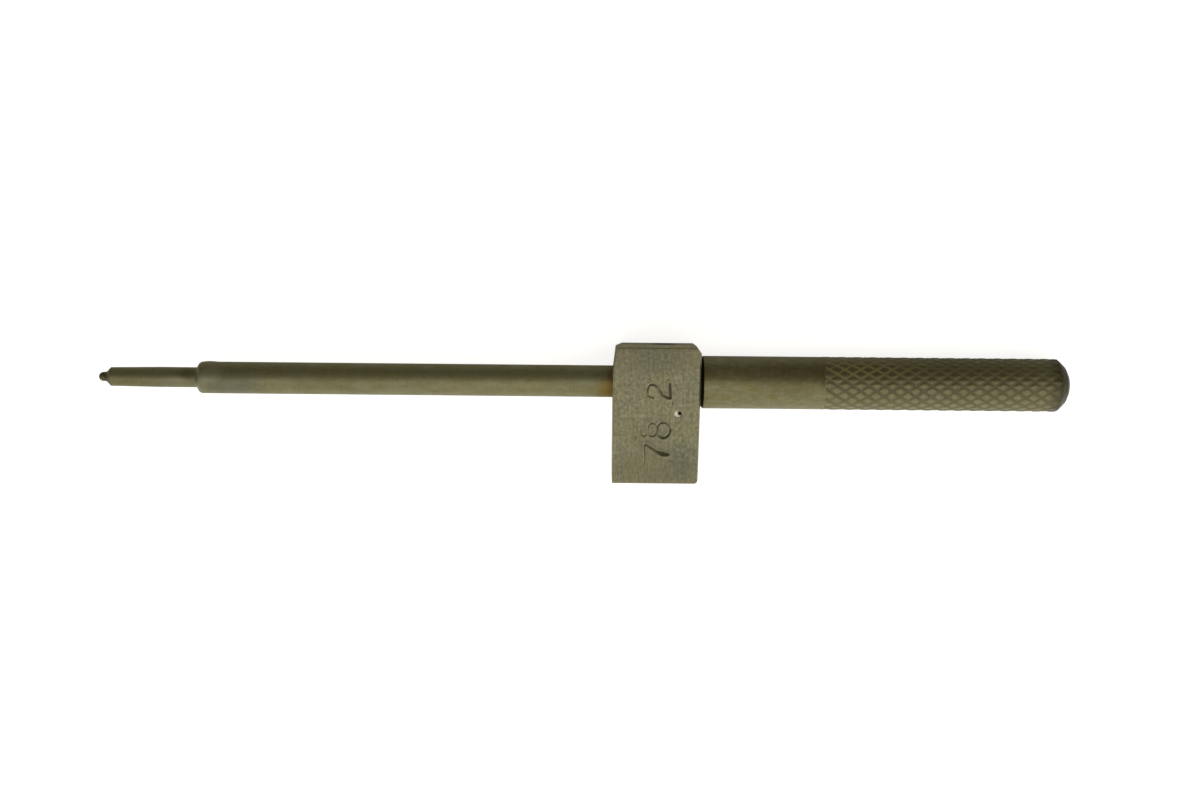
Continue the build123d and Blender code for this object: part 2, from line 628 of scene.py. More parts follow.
def stamped_spans():
    """Every short span of the stamped strokes on the face: two ends (x, y, depth) each."""
    spans = []
    for strokes, (x, y) in strikes:
        for stroke in strokes:
            line = [(x - up, y + across, depth) for across, up, depth in smooth_line(stroke)]
            spans += list(zip(line, line[1:]))
    return np.array(spans)


def struck_figures(x, y, spans):
    """(height, groove, bare) that the strokes give to points of the face, with their raised lips."""
    height = np.zeros_like(x)
    lifted = np.zeros_like(x)
    left = np.zeros_like(x)
    for (ax, ay, ad), (bx, by, bd) in spans:
        beside_x = np.abs(x - (ax + bx) / 2) < stroke_reach
        beside_y = np.abs(y - (ay + by) / 2) < stroke_reach
        near = np.flatnonzero(beside_x & beside_y)
        dx, dy = bx - ax, by - ay
        t = np.clip(((x[near] - ax) * dx + (y[near] - ay) * dy) / max(dx * dx + dy * dy, 1e-9), 0, 1)
        from_x, from_y = x[near] - ax - dx * t, y[near] - ay - dy * t
        away = np.hypot(from_x, from_y)
        depth = ad + (bd - ad) * t
        half = np.maximum(depth / stroke_slope + 0.02, faint_half_width)
        wall = np.clip(1 - away / half, 0, 1)
        below = -depth * (wall - floor_round * ramp(wall, 0.7, 1))
        lower = below < height[near]
        height[near[lower]] = below[lower]
        left[near[lower]] = -from_x[lower] / half[lower]
        lip = lip_share * depth * np.exp(-(((away - half * 1.15) / lip_width) ** 2))
        lifted[near] = np.maximum(lifted[near], lip)
    # Dirt in the strokes, with painted shade: the walls on their -X side, which face the light, get
    # less of it.
    groove = np.clip(-height / dirt_and_shade_depth, 0, 1) * np.clip(1.05 - 1.5 * left, 0, 1)
    # Painted highlight: the walls on the strokes' -X side, which face the light, are painted as bright
    # bare steel.
    bare_and_highlight = np.clip(-height / bare_and_highlight_depth, 0, 1) * np.clip(-height / (bare_and_highlight_depth / 2), 0, 1)
    bare_and_highlight = bare_and_highlight * most_bare_and_highlight * ramp(left, 0.12, 0.5)
    height = np.where(height < -0.003, height, height + lifted)
    return height, groove, bare_and_highlight


def stamped_height(x, y, spans):
    """(height, groove, bare) at points of the face: the figures, the punched point and the dents."""
    height, groove, bare_and_highlight = struck_figures(x, y, spans)
    px, py = x - point_at[0], y - point_at[1]
    away = np.hypot(px, py)
    side = np.clip((point_highlight_side[0] * px + point_highlight_side[1] * py) / (away + 1e-6), -1, 1)
    pit = np.hypot(px - pit_off[0], py - pit_off[1])
    height -= point_depth * np.clip(1 - (away / point_r) ** 4, 0, 1)
    height -= pit_depth * np.clip(1 - (pit / pit_r) ** 1.6, 0, 1)
    # Painted shade in the pit, and a painted highlight on the rim's -X, -Y side.
    groove = np.maximum(groove, np.clip(2.6 - pit / 0.14, 0, 1.6))
    shine = 1 - ramp(away, point_r - 0.16, point_r + 0.05)
    bare_and_highlight = np.maximum(bare_and_highlight, shine * ramp(pit, 0.24, 0.42) * np.clip(0.75 + side, 0, 1))
    for dent_x, dent_y, dent_r in dents:
        dent = np.clip(1 - np.hypot(x - dent_x, y - dent_y) / dent_r, 0, 1)
        height -= dent_depth * dent
        groove = np.maximum(groove, 0.55 * dent)
    return height, groove, bare_and_highlight


def fill_face(bm, face, points, shape):
    """Refills a flat front face with triangles through points, lifted by shape(x, y)."""
    rim = [loop.vert for loop in face.loops]
    z = rim[0].co.z
    flat = [Vector((v.co.x, v.co.y)) for v in rim]
    count = len(rim)
    loop = [(i, (i + 1) % count) for i in range(count)]
    made = delaunay_2d_cdt(flat + points, loop, [], 1, 1e-5)
    spots, triangles, sources = made[0], made[2], made[3]
    xy = np.array([tuple(p) for p in spots])
    height, groove, bare_and_highlight = shape(xy[:, 0], xy[:, 1])
    groove_layer = bm.verts.layers.float["groove"]
    bare_layer = bm.verts.layers.float["bare_and_highlight"]
    bm.faces.remove(face)
    verts = []
    for i, source in enumerate(sources):
        on_rim = [s for s in source if s < count]
        if on_rim:
            verts.append(rim[on_rim[0]])
            continue
        vert = bm.verts.new((xy[i, 0], xy[i, 1], z + height[i]))
        vert[groove_layer] = groove[i]
        vert[bare_layer] = bare_and_highlight[i]
        verts.append(vert)
    for t in triangles:
        bm.faces.new([verts[k] for k in t]).smooth = True


def inside_outline(x, y, margin):
    """True where a point lies inside the stamped face by at least margin."""
    rear_height = block_high.y - rear_corner[1] - block_low.y
    rear_slope = (block_high.x - block_low.x - foot_width) / rear_height
    rear = block_low.x + foot_width + (y - block_low.y) * rear_slope
    front_cut = front_relief * (y - block_high.y + front_relief_length) / front_relief_length
    front = block_low.x + np.maximum(0, front_cut)
    top = block_high.y - top_chamfer
    past_rear = np.maximum(0, x - rear + foot_round)
    past_foot = np.maximum(0, block_low.y + foot_round - y)
    clear = (x > front + margin) & (x < rear - margin)
    clear &= (y > block_low.y + margin) & (y < top - margin)
    return clear & (np.hypot(past_rear, past_foot) < foot_round - margin + 0.001)


def face_points(spans):
    """Points over the stamped face: close together near the strokes, wide apart elsewhere."""
    margin = edge_break + 0.12
    fine_x, fine_y = np.meshgrid(
        np.arange(block_low.x, block_high.x, fine_step),
        np.arange(block_low.y, block_high.y, fine_step * sqrt(0.75)),
    )
    fine_x[1::2] += fine_step / 2
    x, y = fine_x.ravel(), fine_y.ravel()
    keep = inside_outline(x, y, margin)
    x, y = x[keep], y[keep]
    height, groove, bare_and_highlight = stamped_height(x, y, spans)
    near = (np.abs(height) > 0.0012) | (groove > 0.001) | (bare_and_highlight > 0.01)
    row = np.round((y - block_low.y) / (fine_step * sqrt(0.75))).astype(int)
    column = np.round((x - block_low.x) / fine_step).astype(int)
    apart = int(coarse_step / fine_step)
    wide = (row % apart == 0) & (column % apart == (row // apart % 2) * (apart // 2))
    chosen = near | wide
    return [Vector(p) for p in zip(x[chosen], y[chosen])]


def stamped_block(material):
    obj = object_of("stamped_block", block_blank())
    front, rear = block_low.x, block_high.x
    proud = 0.5
    slope = radians(45)
    reach = bore_r + bore_chamfer + proud * tan(slope)
    cut(obj, drill([
        (front - proud, 0), (front - proud, reach), (front + bore_chamfer, bore_r),
        (rear + proud, bore_r), (rear + proud, 0),
    ], "bore"))
    cut(obj, tap_cutter())
    bm = bmesh.new()
    bm.from_mesh(obj.data)
    for name in ("groove", "bare_and_highlight"):
        if name not in bm.verts.layers.float:
            bm.verts.layers.float.new(name)
    for e in bm.edges:
        e.smooth = e.calc_face_angle(0) < radians(12)
    facing = [f for f in bm.faces if f.normal.z > 0.999]
    face = max(facing, key=lambda f: f.calc_area())
    spans = stamped_spans()
    fill_face(bm, face, face_points(spans), lambda x, y: stamped_height(x, y, spans))
    bmesh.ops.recalc_face_normals(bm, faces=bm.faces)
    bm.to_mesh(obj.data)
    bm.free()
    return finish_piece(obj, "block", "gauge_block", material, None)


# Lock screw and pad


def socket_screw(material):
    low, high = screw_low.y, screw_high.y
    root = screw_r - thread_depth
    flat = screw_r - screw_chamfer
    profile = [(low, 0), (low, flat - 0.5), (low, flat)]
    profile += [(x, screw_r) for x in thread_rows(low, high)]
    profile += [(high, flat), (high, flat - 0.35), (high, 0)]
    worked = thread_below(screw_r, root, low + screw_chamfer, high - screw_chamfer, 1)

    def depth(x, r, angle):
        return np.where(r > flat + 0.001, worked(x, r, angle), 0)

    obj = object_of("socket_screw", stand_up(lathe(profile, even_angles(thread_sides), depth), screw_x))
    bm = bmesh.new()
    socket_r = socket_across_flats / 2 / cos(radians(30))
    proud = 0.2
    rings = [
        (high + proud, socket_r + socket_mouth),
        (high - socket_mouth_depth, socket_r),
        (high - socket_depth, socket_r),
        (high - socket_depth - socket_point_depth, socket_point_r),
    ]
    loops = []
    for y, r in rings:
        spots = [(screw_x + r * cos(radians(60 * k)), y, r * sin(radians(60 * k))) for k in range(6)]
        loops.append([bm.verts.new(spot) for spot in spots])
    for a, b in zip(loops, loops[1:]):
        for k in range(6):
            bm.faces.new((a[k], a[(k + 1) % 6], b[(k + 1) % 6], b[k]))
    bm.faces.new(loops[0])
    bm.faces.new(loops[-1])
    bmesh.ops.recalc_face_normals(bm, faces=bm.faces)
    cut(obj, object_of("hexagon", bm))
    return finish_piece(obj, "screw", "lock_screw", material, 35)


def brass_pad(material):
    low, high, r = pad_low.y, pad_high.y, pad_high.z
    profile = rounded([
        (low, 0, 0),
        (low, r - pad_chamfer, pad_round),
        (low + pad_chamfer, r, pad_round),
        (high - pad_chamfer, r, pad_round),
        (high, r - pad_chamfer, pad_round),
        (high, pad_mark_r, pad_mark_round),
        (high - pad_mark_depth, pad_mark_floor_r, pad_mark_round),
        (high - pad_mark_depth, 0, 0),
    ])
    bm = stand_up(lathe(spaced(profile, 0.25), even_angles(fine_sides)), screw_x)
    return finish_piece(object_of("brass_pad", bm), "pad", "lock_pad", material)


# Shader nodes


def plug(tree, socket, value):
    """Links the socket to another socket, or sets it to a plain value."""
    if isinstance(value, bpy.types.NodeSocket):
        tree.links.new(value, socket)
    else:
        socket.default_value = value


def add(tree, kind, inputs=None, **settings):
    """A new node with its settings, and its inputs set to values or linked to sockets."""
    node = tree.nodes.new(kind)
    for name, value in settings.items():
        setattr(node, name, value)
    for name, value in (inputs or {}).items():
        plug(tree, node.inputs[name], value)
    return node


def calc(tree, operation, a, b=0.0, clamp=False):
    return add(tree, "ShaderNodeMath", {0: a, 1: b}, operation=operation, use_clamp=clamp).outputs[0]


def times(tree, a, b, clamp=False):
    return calc(tree, "MULTIPLY", a, b, clamp)


def vector_calc(tree, operation, inputs):
    return add(tree, "ShaderNodeVectorMath", inputs, operation=operation).outputs


def length_of(tree, vector):
    return vector_calc(tree, "LENGTH", {0: vector})["Value"]


def axes_of(tree, vector):
    return add(tree, "ShaderNodeSeparateXYZ", {0: vector}).outputs


def between(tree, value, low, high, start=0.0, end=1.0):
    """value from low to high, turned smoothly into start to end."""
    spread = {"Value": value, "From Min": low, "From Max": high, "To Min": start, "To Max": end}
    return add(tree, "ShaderNodeMapRange", spread, interpolation_type="SMOOTHSTEP").outputs[0]


def blend_colour(tree, factor, a, b):
    """From colour a to colour b by factor. A colour is a socket or red, green and blue."""
    node = add(tree, "ShaderNodeMix", {0: factor}, data_type="RGBA")
    for index, colour in ((6, a), (7, b)):
        plug(tree, node.inputs[index], (*colour, 1.0) if isinstance(colour, tuple) else colour)
    return node.outputs[2]


def toned(tree, colour, tone):
    """The colour made darker or lighter by tone, which is 1 where it stays as it is."""
    return vector_calc(tree, "SCALE", {0: colour, "Scale": tone})[0]


def coated(tree, colour, mask, share, coat):
    """The colour under a coat of another one, as thick as the mask's share."""
    return blend_colour(tree, times(tree, mask, share), colour, coat)


def varied(tree, colour, swing, amount):
    """The colour made darker and lighter by swing, which runs from -1 to 1, times amount."""
    return toned(tree, colour, calc(tree, "ADD", 1.0, times(tree, swing, amount)))


def noise(tree, vector, scale, detail=3.0, roughness=0.55):
    spots = {"Vector": vector, "Scale": scale, "Detail": detail, "Roughness": roughness}
    return add(tree, "ShaderNodeTexNoise", spots).outputs["Fac"]


def stretched(tree, vector, stretch):
    return vector_calc(tree, "MULTIPLY", {0: vector, 1: stretch})[0]


def make_group(name, inputs, outputs, wire):
    """A shader node group. inputs is {name: (kind, value)}, outputs {name: kind}."""
    tree = bpy.data.node_groups.new(name, "ShaderNodeTree")
    for label, (kind, value) in inputs.items():
        socket = tree.interface.new_socket(name=label, in_out="INPUT", socket_type="NodeSocket" + kind)
        if value is not None:
            socket.default_value = value
    for label, kind in outputs.items():
        tree.interface.new_socket(name=label, in_out="OUTPUT", socket_type="NodeSocket" + kind)
    inlet = tree.nodes.new("NodeGroupInput").outputs
    outlet = tree.nodes.new("NodeGroupOutput").inputs
    for label, socket in wire(tree, inlet).items():
        tree.links.new(socket, outlet[label])
    return tree


def use(tree, group, inputs):
    """Places a node group and returns its outputs."""
    return add(tree, "ShaderNodeGroup", inputs, node_tree=group).outputs


def wire_tool_lines(tree, inlet):
    """Fine lines left by a wheel or a turning tool: long along the smallest stretch."""
    vector = stretched(tree, inlet["Vector"], inlet["Stretch"])
    fine = noise(tree, vector, 1.0, 4.0, 0.65)
    broad = noise(tree, vector, 0.28, 2.0, 0.5)
    both = calc(tree, "ADD", times(tree, fine, 0.8), times(tree, broad, 0.2))
    return {"Tone": between(tree, both, 0.36, 0.64), "Height": both}


def wire_patches(tree, inlet):
    """Cloudy patches of thicker and thinner film, small dark specks and a fine mottling."""
    size = calc(tree, "DIVIDE", 1.0, inlet["Size"])
    cloud = noise(tree, inlet["Vector"], size, 5.0, 0.6)
    speck = noise(tree, inlet["Vector"], inlet["Specks per mm"], 2.0, 0.6)
    aside = vector_calc(tree, "ADD", {0: inlet["Vector"], 1: (31.0, 17.0, 53.0)})[0]
    fine = noise(tree, aside, inlet["Mottles per mm"], 2.0, 0.7)
    return {
        "Patch": between(tree, cloud, 0.38, 0.64),
        "Speck": between(tree, speck, 0.6, 0.74),
        "Mottle": between(tree, fine, 0.34, 0.66, -1.0, 1.0),
    }


def wire_grime(tree, inlet):
    """Old oil and dirt that stays in low places, broken up by noise. On the block's marks it also lays
    painted shade.
    """
    broken = noise(tree, inlet["Vector"], 1.7, 4.0, 0.6)
    lifted = times(tree, inlet["Low place"], between(tree, broken, 0.2, 0.6, 0.6, 1.25))
    return {"Mask": times(tree, lifted, inlet["Amount"], clamp=True)}


def wire_edge_wear(tree, inlet):
    """Where handling has rubbed the film off an edge or a high place."""
    broken = noise(tree, inlet["Vector"], 2.3, 3.0, 0.6)
    rubbed = times(tree, inlet["Edge"], between(tree, broken, 0.3, 0.62, 0.25, 1.0))
    return {"Mask": times(tree, rubbed, inlet["Amount"], clamp=True)}


def wire_zone(tree, inlet):
    """1 inside a soft-edged ball round a point, for a local stain, and also for painted shade and
    highlight.
    """
    away = vector_calc(tree, "SUBTRACT", {0: inlet["Vector"], 1: inlet["Centre"]})[0]
    length = length_of(tree, stretched(tree, away, inlet["Shape"]))
    wobble = noise(tree, inlet["Vector"], 1.1, 4.0, 0.6)
    soft = calc(tree, "ADD", length, times(tree, calc(tree, "SUBTRACT", wobble, 0.5), 0.9))
    return {"Mask": between(tree, soft, 1.25, 0.35)}


in_place = {"Vector": ("Vector", None)}
tool_lines = make_group(
    "Tool lines",
    {**in_place, "Stretch": ("Vector", (1, 1, 1))},
    {"Tone": "Float", "Height": "Float"},
    wire_tool_lines,
)
patches = make_group(
    "Film patches",
    {
        **in_place,
        "Size": ("Float", 3.0),
        "Specks per mm": ("Float", 2.0),
        "Mottles per mm": ("Float", 1.7),
    },
    {"Patch": "Float", "Speck": "Float", "Mottle": "Float"},
    wire_patches,
)
grime_and_shade = make_group(
    "Grime and shade",
    {**in_place, "Low place": ("Float", 0.0), "Amount": ("Float", 1.0)},
    {"Mask": "Float"},
    wire_grime,
)
edge_wear = make_group(
    "Edge wear",
    {**in_place, "Edge": ("Float", 0.0), "Amount": ("Float", 1.0)},
    {"Mask": "Float"},
    wire_edge_wear,
)
stain_and_shade_zone = make_group(
    "Stain and shade zone",
    {**in_place, "Centre": ("Vector", (0, 0, 0)), "Shape": ("Vector", (1, 1, 1))},
    {"Mask": "Float"},
    wire_zone,
)

# Colours, linear
film_olive = (0.222, 0.208, 0.108)
film_gold = (0.225, 0.203, 0.085)
grip_olive = (0.194, 0.180, 0.090)
grip_gold = (0.205, 0.186, 0.074)
dark_film_and_shade = (0.128, 0.112, 0.046)
worn_grey = (0.262, 0.256, 0.166)
worn_dark = (0.165, 0.162, 0.108)
face_olive = (0.323, 0.300, 0.175)
face_grey = (0.308, 0.296, 0.198)
face_dark = (0.215, 0.198, 0.117)
face_blue = (0.135, 0.143, 0.108)
grime_and_shade_brown = (0.040, 0.033, 0.014)
groove_dirt = (0.150, 0.131, 0.045)
groove_gold = (0.205, 0.176, 0.058)
rust_brown = (0.190, 0.110, 0.026)
rust_ochre = (0.235, 0.165, 0.036)
bare_steel_and_highlight = (0.52, 0.51, 0.40)
filed_steel_and_reflection = (0.54, 0.51, 0.32)
bright_bare_and_highlight = (0.72, 0.70, 0.58)
black_oxide_and_hole_shade = (0.028, 0.026, 0.022)
brass_dull = (0.50, 0.34, 0.10)
brass_bright = (0.72, 0.54, 0.22)
paper_pale = (0.74, 0.74, 0.72, 1)

# Local stains: centre, how small the stain is along each axis, strength and colour. A few are painted
# shade and painted highlight instead, as noted above them.
stem_stains_and_painted_light = [
    ((6.5, -1.5, 2.0), (0.13, 0.35, 0.2), 0.75, worn_dark),
    ((1.4, -0.9, 2.6), (0.8, 0.3, 0.3), 0.4, worn_grey),
    # Painted highlight on the shoulder's root, as bare steel.
    ((0.4, -0.6, 2.2), (1.4, 0.28, 0.3), 0.32, bare_steel_and_highlight),
    ((3.2, 0.7, 2.9), (0.45, 0.6, 0.3), 0.18, bare_steel_and_highlight),
    ((27.0, -0.8, 2.8), (0.065, 0.7, 0.3), 0.2, dark_film_and_shade),
    ((78.0, -1.9, 2.2), (0.3, 0.34, 0.3), 0.85, rust_ochre),
    ((78.2, 0.6, 2.6), (0.8, 0.2, 0.22), 0.6, rust_brown),
    ((-1.3, 0.5, 1.7), (0.45, 0.6, 0.5), 0.34, grime_and_shade_brown),
    ((-4.0, -0.9, 1.6), (0.3, 0.8, 0.5), 0.8, worn_grey),
    ((-9.5, -1.2, 1.4), (0.1, 0.5, 0.3), 0.4, dark_film_and_shade),
    # Painted shade at the nub's neck and tip.
    ((-17.1, 0.0, 0.0), (0.9, 0.3, 0.3), 0.6, grime_and_shade_brown),
]
grip_stains_and_shade = [
    # Painted shade along the knurl's upper (+Y) side.
    ((134.0, 3.2, 3.9), (0.03, 0.32, 0.3), 0.7, dark_film_and_shade),
    ((140.0, 0.0, 5.0), (0.028, 0.5, 0.3), 0.35, dark_film_and_shade),
    ((111.0, 0.0, 4.9), (0.11, 0.45, 0.3), 0.4, dark_film_and_shade),
]
dirt_stains = [
    ((122.0, 3.4, 3.7), (0.06, 0.3, 0.3), 0.8, groove_gold),
    ((123.0, -0.9, 4.9), (0.06, 0.42, 0.2), 0.36, grime_and_shade_brown),
    ((146.0, 1.8, 4.0), (0.05, 0.17, 0.06), 0.36, grime_and_shade_brown),
]
face_stains = [
    ((86.0, -16.8, 6.3), (0.09, 0.19, 0.1), 0.85, face_dark),
    ((86.0, 4.6, 6.3), (0.08, 0.28, 0.1), 0.6, face_dark),
    ((85.0, -9.8, 6.3), (0.2, 0.3, 0.1), 0.4, face_dark),
]


def empty_material(name):
    material = bpy.data.materials.new(name)
    material.use_nodes = True
    material.node_tree.nodes.clear()
    return material, material.node_tree


def new_material(name):
    """A material with only its output, its Principled shader and its place in millimetres."""
    material, tree = empty_material(name)
    shader = tree.nodes.new("ShaderNodeBsdfPrincipled")
    output = tree.nodes.new("ShaderNodeOutputMaterial")
    tree.links.new(shader.outputs[0], output.inputs["Surface"])
    place = add(tree, "ShaderNodeTexCoord").outputs["Object"]
    vector = vector_calc(tree, "SCALE", {0: place, "Scale": 1 / MM})[0]
    return material, tree, shader, vector


def attribute(tree, name):
    return add(tree, "ShaderNodeAttribute", attribute_name=name).outputs["Fac"]


def set_shader(tree, shader, colour, roughness, height, metallic, bump=0.25, bump_depth=0.00002):
    tree.links.new(colour, shader.inputs["Base Color"])
    tree.links.new(roughness, shader.inputs["Roughness"])
    plug(tree, shader.inputs["Metallic"], metallic)
    relief = add(tree, "ShaderNodeBump", {"Height": height, "Strength": bump, "Distance": bump_depth})
    tree.links.new(relief.outputs[0], shader.inputs["Normal"])


def with_stains_and_painted_light(tree, vector, colour, stains):
    """The colour with soft-edged local stains over it, one after the other. Some of them are painted
    shade and highlights.
    """
    for centre, shape, strength, stain in stains:
        zone = use(tree, stain_and_shade_zone, {"Vector": vector, "Centre": centre, "Shape": shape})
        colour = coated(tree, colour, zone["Mask"], strength, stain)
    return colour


def stem_material():
    material, tree, shader, vector = new_material("ground stem steel")
    along = stretched(tree, vector, (0.4, 1, 1))
    film = use(tree, patches, {"Vector": along, "Size": 1.5, "Specks per mm": 1.3})
    lines = use(tree, tool_lines, {"Vector": vector, "Stretch": (13.0, 0.3, 0.3)})
    gold = use(tree, patches, {"Vector": stretched(tree, vector, (0.25, 0.8, 0.8)), "Size": 1.9})
    colour = coated(tree, film_olive, film["Patch"], 0.5, worn_grey)
    colour = coated(tree, colour, gold["Patch"], 0.5, film_gold)
    colour = coated(tree, colour, film["Speck"], 0.35, dark_film_and_shade)
    colour = varied(tree, colour, film["Mottle"], 0.04)
    colour = toned(tree, colour, between(tree, lines["Tone"], 0.0, 1.0, 0.94, 1.06))
    colour = with_stains_and_painted_light(tree, vector, colour, stem_stains_and_painted_light)
    raised = times(tree, attribute(tree, "groove"), -1 / burr_height, clamp=True)
    colour = coated(tree, colour, raised, 0.15, bare_steel_and_highlight)
    roughness = between(tree, film["Patch"], 0.0, 1.0, 0.53, 0.48)
    set_shader(tree, shader, colour, roughness, lines["Height"], 0.9, 0.5)
    return material


def grip_material():
    material, tree, shader, vector = new_material("grip steel")
    along = stretched(tree, vector, (0.4, 1, 1))
    film = use(tree, patches, {"Vector": along, "Size": 2.0, "Specks per mm": 1.5})
    short = stretched(tree, vector, (0.6, 1.2, 1.2))
    worn = use(tree, patches, {"Vector": short, "Size": 1.1, "Specks per mm": 3.0})
    lines = use(tree, tool_lines, {"Vector": vector, "Stretch": (12.0, 0.3, 0.3)})
    depth = calc(tree, "DIVIDE", attribute(tree, "groove"), groove_depth)
    in_groove = between(tree, depth, 0.42, 0.85)
    low = use(tree, grime_and_shade, {"Vector": vector, "Low place": in_groove, "Amount": 0.8})
    place = axes_of(tree, vector)[0]
    on_knurl = between(tree, place, knurl_start, knurl_start + 0.4)
    land = times(tree, between(tree, depth, 0.35, 0.05), on_knurl)
    high = use(tree, edge_wear, {"Vector": vector, "Edge": land, "Amount": 0.55})
    colour = coated(tree, grip_olive, film["Patch"], 0.9, grip_gold)
    colour = coated(tree, colour, worn["Patch"], 0.46, worn_grey)
    colour = coated(tree, colour, film["Speck"], 0.45, dark_film_and_shade)
    colour = varied(tree, colour, film["Mottle"], 0.05)
    colour = blend_colour(tree, high["Mask"], colour, worn_grey)
    colour = toned(tree, colour, between(tree, on_knurl, 0.0, 1.0, 1.0, 0.93))
    colour = with_stains_and_painted_light(tree, vector, colour, grip_stains_and_shade)
    dirt = with_stains_and_painted_light(tree, vector, groove_dirt, dirt_stains)
    colour = blend_colour(tree, low["Mask"], colour, dirt)
    # Painted shade on the grip's front chamfer, in the gap where the block keeps the light off.
    gap_edge = grip_low.x + grip_front_chamfer
    gap_shade = between(tree, place, gap_edge + 0.12, gap_edge - 0.05)
    # Painted shade: the knurl's last few millimetres and the end chamfer are painted darker, the dome
    # at half strength.
    end_shade = between(tree, place, knurl_end - 3.4, knurl_end + 1.3)
    on_dome = between(tree, place, knurl_end + grip_end_chamfer, grip_high.x - 0.3)
    end_shade = calc(tree, "SUBTRACT", end_shade, times(tree, on_dome, 0.5))
    colour = coated(tree, colour, end_shade, 0.85, grime_and_shade_brown)
    colour = coated(tree, colour, gap_shade, 0.85, grime_and_shade_brown)
    colour = toned(tree, colour, between(tree, lines["Tone"], 0.0, 1.0, 0.94, 1.06))
    roughness = between(tree, low["Mask"], 0.0, 1.0, 0.45, 0.6)
    roughness = calc(tree, "ADD", roughness, times(tree, on_knurl, -0.03))
    metallic = between(tree, low["Mask"], 0.0, 1.0, 0.9, 0.0)
    set_shader(tree, shader, colour, roughness, lines["Height"], metallic, 0.5)
    return material


def lock_hole_shade(tree, vector):
    """1 inside the lock screw's hole, which is painted black: painted shade in the hole."""
    away = vector_calc(tree, "SUBTRACT", {0: vector, 1: (screw_x, 0, 0)})[0]
    length = length_of(tree, stretched(tree, away, (1, 0, 1)))
    height = axes_of(tree, vector)[1]
    inside = between(tree, length, screw_r + 0.22, screw_r + 0.1)
    return times(tree, inside, between(tree, height, 1.0, 2.0))


def grip_gap_shade(tree, vector):
    """1 in a ring on the block's rear face beside the grip's end: painted shade in the gap between
    block and grip.
    """
    lean = (block_high.x - block_low.x - foot_width) / (block_high.y - block_low.y)
    slanted = vector_calc(tree, "DOT_PRODUCT", {0: vector, 1: (1, -lean, 0)})["Value"]
    rear = block_low.x + foot_width - lean * block_low.y
    at_rear = between(tree, slanted, rear - 0.34, rear - 0.16)
    length = length_of(tree, stretched(tree, vector, (0, 1, 1)))
    uneven = times(tree, noise(tree, vector, 0.7, 4.0, 0.6), 1.6)
    reach = calc(tree, "ADD", length, uneven)
    return times(tree, at_rear, between(tree, reach, 9.0, 7.3))


def on_chamfer(tree, vector):
    """1 on the chamfers of the block's head, which are painted lighter: filed steel and, in part, a
    painted reflection.
    """
    place = axes_of(tree, vector)
    reach = calc(tree, "ADD", place[1], calc(tree, "ABSOLUTE", place[2]))
    plane = block_high.y + half_depth - top_chamfer
    return between(tree, reach, plane - 0.05, plane)


def ground_way(tree, vector):
    """The vector with X and Y exchanged on the head and foot, whose grinding lines run along X."""
    normal = add(tree, "ShaderNodeTexCoord").outputs["Normal"]
    facing = calc(tree, "ABSOLUTE", axes_of(tree, normal)[1])
    place = axes_of(tree, vector)
    turned = add(tree, "ShaderNodeCombineXYZ", {0: place[1], 1: place[0], 2: place[2]}).outputs[0]
    on_end = calc(tree, "GREATER_THAN", facing, 0.85)
    choice = {0: on_end, 4: vector, 5: turned}
    return add(tree, "ShaderNodeMix", choice, data_type="VECTOR").outputs[1]


